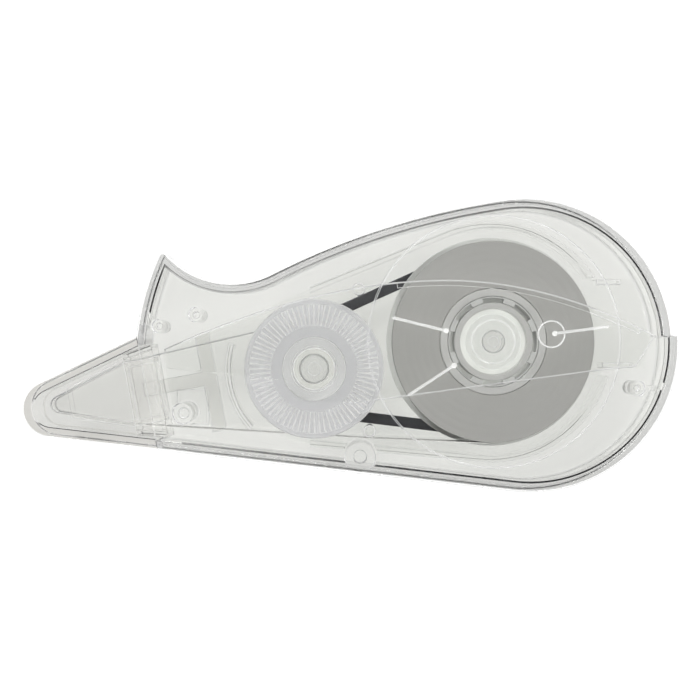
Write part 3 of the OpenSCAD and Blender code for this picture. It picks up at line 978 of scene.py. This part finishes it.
def take_up_disc():
    z = TAPE_Z + TAPE_W + 0.3
    face = z + 0.35
    sink = 0.1
    per_rib = 8

    def ribbed(r, height, a):
        if height < face - 0.01 or not RIB_IN - 0.01 < r < RIB_OUT + 0.01:
            return height
        return face if round(a * per_rib * RIBS / (2 * pi)) % per_rib < 2 else face - sink

    profile = [(4.72, z), (DISC_R, z), (DISC_R, z + 0.2), (DISC_R - 0.15, face),
               (RIB_OUT + 0.05, face), (RIB_OUT, face), (8.7, face), (7.9, face), (7.1, face),
               (RIB_IN, face), (RIB_IN - 0.05, face), (4.72, face)]
    disc = revolve("take_up_disc_ribbed", TAKE_UP, profile, segments=RIBS * per_rib, soft=0.0,
                   height=ribbed)
    piece(disc, "take_up", "frosted_reel", FROSTED, "take_up_disc")
    # painted highlights on the disc's rounded edges and on the rib crests
    paint_edge_light_and_shade(disc, high=0.9)

    def on_crest(face_, c):
        dx, dy = c.x - TAKE_UP[0], c.y - TAKE_UP[1]
        turn = atan2(dy, dx) * RIBS / (2 * pi) - 0.5 / per_rib
        return (RIB_IN < hypot(dx, dy) < RIB_OUT and c.z > z + 0.1
                and abs(turn - round(turn)) < 1.2 / per_rib)

    paint(disc, EDGE_GLINT, on_crest)


def take_up_winding():
    profile = [(4.75, TAPE_Z), (WINDING_R, TAPE_Z), (WINDING_R, TAPE_Z + TAPE_W),
               (4.75, TAPE_Z + TAPE_W)]
    winding = revolve("take_up_winding_liner", TAKE_UP, profile, soft=0.05)
    piece(winding, "take_up", "used_liner", USED_LINER, "take_up_winding")


def take_up_retainer():
    z = BRIDGE_Z - 1.1
    bore = POST_TAKE_UP_R + 0.02
    washer = revolve("take_up_retainer_ring", TAKE_UP,
                     [(bore, z), (3.1, z), (3.1, z + 0.7), (bore, z + 0.7)], soft=0.15)
    piece(washer, "case", "olive_washer", OLIVE, "take_up_retainer")
    # painted highlight on the washer's top edge and a painted shade ring at its bore
    paint_edge_light_and_shade(washer, lambda c: c.z > z + 0.4)
    paint(washer, CLUTCH_GREY_AND_POST_SHADE, lambda face, c: c.z > z + 0.4 and off_axis(c, TAKE_UP) < bore + 0.2)


def drive_belt():
    """Square belt with worn corners, run along the loop round both reels."""
    mid = GROOVE_Z + GROOVE_W / 2
    half, corner = BELT_S / 2, 0.22
    section = []
    for k in range(4):
        centre = (half - corner) * (1 if k in (0, 3) else -1), (half - corner) * (1 if k < 2 else -1)
        section += arc(centre, corner, 90 * k, 90 * k + 90, 3)
    count = len(reel_loop(SUPPLY_BELT_R, TAKE_UP_BELT_R))
    loops = [reel_loop(SUPPLY_BELT_R + dx, TAKE_UP_BELT_R + dx) for dx, _ in section]
    rings = [[(*loops[j][i], mid + section[j][1]) for j in range(len(section))]
             for i in range(count)]
    piece(loft("drive_belt_loop", rings, close=True), "case", "belt_rubber", BELT, "drive_belt")


# ---------------------------------------------------------------- chassis and bridge
CHAMBER_R = 17.8
CHAMBER_SMALL_R = 11.5
BASE_Z = FACE_T + 0.3
GUIDE_UP = (1.2, 8.3)
GUIDE_LOW = (2.8, -12.75)
GUIDE_R = 0.95
GUIDE_FOOT_R = 0.45
CHASSIS_WALL = 0.8
WALL_TOP = TAPE_Z + TAPE_W


def bezier(p, q, s, n=16):
    out = []
    for i in range(n + 1):
        t = i / n
        out.append(tuple((1 - t) ** 2 * p[k] + 2 * t * (1 - t) * q[k] + t * t * s[k]
                         for k in (0, 1)))
    return out


def capsule(name, p, q, r, z0, z1, soft):
    """Bar with round ends from p to q."""
    a = degrees(atan2(q[1] - p[1], q[0] - p[0]))

    def outline(d):
        return arc(q, r - d, a - 90, a + 90, 10) + arc(p, r - d, a + 90, a + 270, 10)

    return rounded_slab(name, outline, z0, z1, soft, soft)


def chamber_walls():
    loop = rounded_slab("chassis_walls",
                        lambda d: reel_loop(CHAMBER_R - d, CHAMBER_SMALL_R - d),
                        PLATE_Z - 0.1, WALL_TOP, 0.0, 0.08)
    inner = CHASSIS_WALL
    room = rounded_slab("room", lambda d: reel_loop(CHAMBER_R - inner - d,
                                                    CHAMBER_SMALL_R - inner - d),
                        PLATE_Z - 1, WALL_TOP + 1, 0.0, 0.0)
    nose_gap = prism("gap", [(-40, -30), (-6, -30), (-6, 30), (-40, 30)], 0, CASE_T)
    tail_gap = prism("gap", [(35, -4.5), (45, -4.5), (45, 10), (35, 10)], 0, CASE_T)
    return cut(loop, room, nose_gap, tail_gap)


def chassis():
    """Base plate with its chamber walls, guide pins and the posts that the reels turn on."""
    edge = 0.2
    plate = rounded_slab("chassis_plate", lambda d: reel_loop(CHAMBER_R - d, CHAMBER_SMALL_R - d),
                         BASE_Z, PLATE_Z, edge, edge)
    nose = [(-28.6, -1.4), (-26.6, -11.6), (-10, -13.6), (-10, 6.2), (-20.5, 2.4)]
    tail = [(34, -3.4), (44.6, -3.4), (45.2, 1.0), (44.2, 6.5), (42.6, 10.1), (34, 10)]
    add(plate, prism("nose_plate", nose, BASE_Z, PLATE_Z, edge),
        prism("tail_plate", tail, BASE_Z, PLATE_Z, edge), chamber_walls())
    bow = arc(TAKE_UP, 13.2, 163, 223, 16) + arc(TAKE_UP, 13.2 - CHASSIS_WALL, 223, 163, 16)
    side = PLATE_Z + 5.5
    upper = [(36.6, 9.0), (40.2, 9.0), (40.2, 9.8), (36.6, 9.8)]
    lower = [(37.4, -3.4), (42.0, -3.4), (42.0, -2.6), (37.4, -2.6)]
    add(plate, prism("bow", bow, PLATE_Z - 0.1, WALL_TOP, edge),
        prism("upper_wall", upper, PLATE_Z - 0.1, side, edge),
        prism("lower_wall", lower, PLATE_Z - 0.1, side, edge))
    pocket = [(-26.3, -12.0), (-21.4, -12.0), (-21.4, -6.7), (-26.3, -6.7)]
    frame_wall = prism("pocket", pocket, PLATE_Z - 0.1, PLATE_Z + 1.2, 0.12)
    add(plate, cut(frame_wall, prism("pocket_room", inset_polygon(pocket, 0.45), PLATE_Z - 1,
                                     PLATE_Z + 2)))
    cut(plate, *[cylinder("clearance", x, y, r + 0.35, 0, CASE_T, 0.0) for x, y, r, _ in PEGS])
    for x, y in (GUIDE_UP, GUIDE_LOW):
        pin = cylinder("guide", x, y, GUIDE_R, FLANGE_Z, WALL_TOP, 0.22)
        add(pin, cylinder("foot", x, y, GUIDE_FOOT_R, PLATE_Z - 0.1, FLANGE_Z + 0.4, 0.05))
        add(plate, pin)
    top = BRIDGE_Z - 0.3
    for centre, r in ((SUPPLY, POST_SUPPLY_R), (TAKE_UP, POST_TAKE_UP_R)):
        post = cylinder("post", *centre, r, PLATE_Z - 0.1, top, 0.2, 72)
        cut(post, cylinder("dimple", *centre, r / 2, top - 0.4, top + 1, 0.1, 72))
        add(plate, post)
    piece(plate, "case", "clear_inner", CLEAR_INNER, "chassis")
    # painted highlights on the rounded edges of the walls, pins and posts
    paint_edge_light_and_shade(plate, lambda c: c.z > PLATE_Z + 0.3)
    # painted shade ring on the posts' top rounding
    for centre, r in ((SUPPLY, POST_SUPPLY_R), (TAKE_UP, POST_TAKE_UP_R)):
        paint(plate, CLUTCH_GREY_AND_POST_SHADE, lambda face, c: c.z > top - 0.3
              and 0.8 * r < off_axis(c, centre) < r + 0.05)


def bridge():
    """Clear plate over both reels, with half-round spokes on its back."""
    rib = 0.45
    rib_r = 0.2
    top = BRIDGE_Z + 0.8
    eye = (29.5, 1.6)
    outline = bezier((-27.4, -0.6), (-5, 9.6), (14, 9.6))
    outline += bezier((14, 9.6), (29, 9.6), (44.8, 1.4))[1:]
    outline += [(41.8, -3.2), (35.5, -3.9), (3.5, -8.2)]
    outline += arc(TAKE_UP, 5.2, -80, -160, 10) + [(-26.9, -3.4)]
    outline.reverse()
    plate = prism("bridge_plate", outline, BRIDGE_Z, top, 0.25)
    dots = []
    spokes = [((6.3, 4.0), (14.05, 2.1)), ((8.6, -7.3), (15.2, -3)), ((30.0, 1.7), (37.8, 2.7))]
    for start, end in spokes:
        add(plate, capsule("spoke", start, end, rib_r, BRIDGE_Z - rib, BRIDGE_Z + 0.3, 0.1))
        hub_end = min((start, end), key=lambda p: hypot(p[0] - SUPPLY[0], p[1] - SUPPLY[1]))
        add(plate, cylinder("spoke_end", *hub_end, 0.4, BRIDGE_Z - rib - 0.1, BRIDGE_Z + 0.3))
        dots.append(hub_end)
    lip = [p for p in outline if p[0] > 4.5 and p[1] > 1.3][1:]
    inner = [inset_polygon(outline, 0.9)[outline.index(p)] for p in lip]
    add(plate, prism("lip", lip + inner[::-1], BRIDGE_Z - rib, BRIDGE_Z + 0.3, 0.15))
    ring = revolve("eye", eye, [(1.83, BRIDGE_Z - rib), (2.05, BRIDGE_Z - rib),
                                (2.05, BRIDGE_Z + 0.3), (1.83, BRIDGE_Z + 0.3)], 72, 0.06)
    add(plate, ring)
    piece(plate, "case", "clear_inner", CLEAR_INNER, "bridge")
    # painted highlights on the top edge, the spokes, the lip, the eye ring and the spoke ends
    paint_edge_light_and_shade(plate, lambda c: c.z > BRIDGE_Z + 0.5 and (c.y > 1 or c.x > 5),
                material=RIB_HIGHLIGHT)
    paint(plate, RIB_HIGHLIGHT, lambda face, c: c.z < BRIDGE_Z - 0.02 and c.y < 5)
    paint(plate, EDGE_GLINT, lambda face, c: c.z < BRIDGE_Z - 0.02
          and (abs(face.normal.z) < 0.97 or any(hypot(c.x - x, c.y - y) < 0.45 for x, y in dots)))


# ---------------------------------------------------------------- nodes kept from the CAD model
def dress(node, material):
    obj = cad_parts[node]
    obj.data.materials.clear()
    obj.data.materials.append(material)


def build():
    rear_shell()
    front_shell()
    nose_cap()
    nose_collar()
    applicator_head()
    chassis()
    bridge()
    drive_pulley()
    clutch_ring()
    supply_core()
    tape_roll()
    supply_retainer()
    take_up_reel()
    take_up_disc()
    take_up_winding()
    take_up_retainer()
    drive_belt()
    dress("tape_web", FRESH_TAPE)
    dress("liner_web", LINER_FILM)


make_studio()
build()
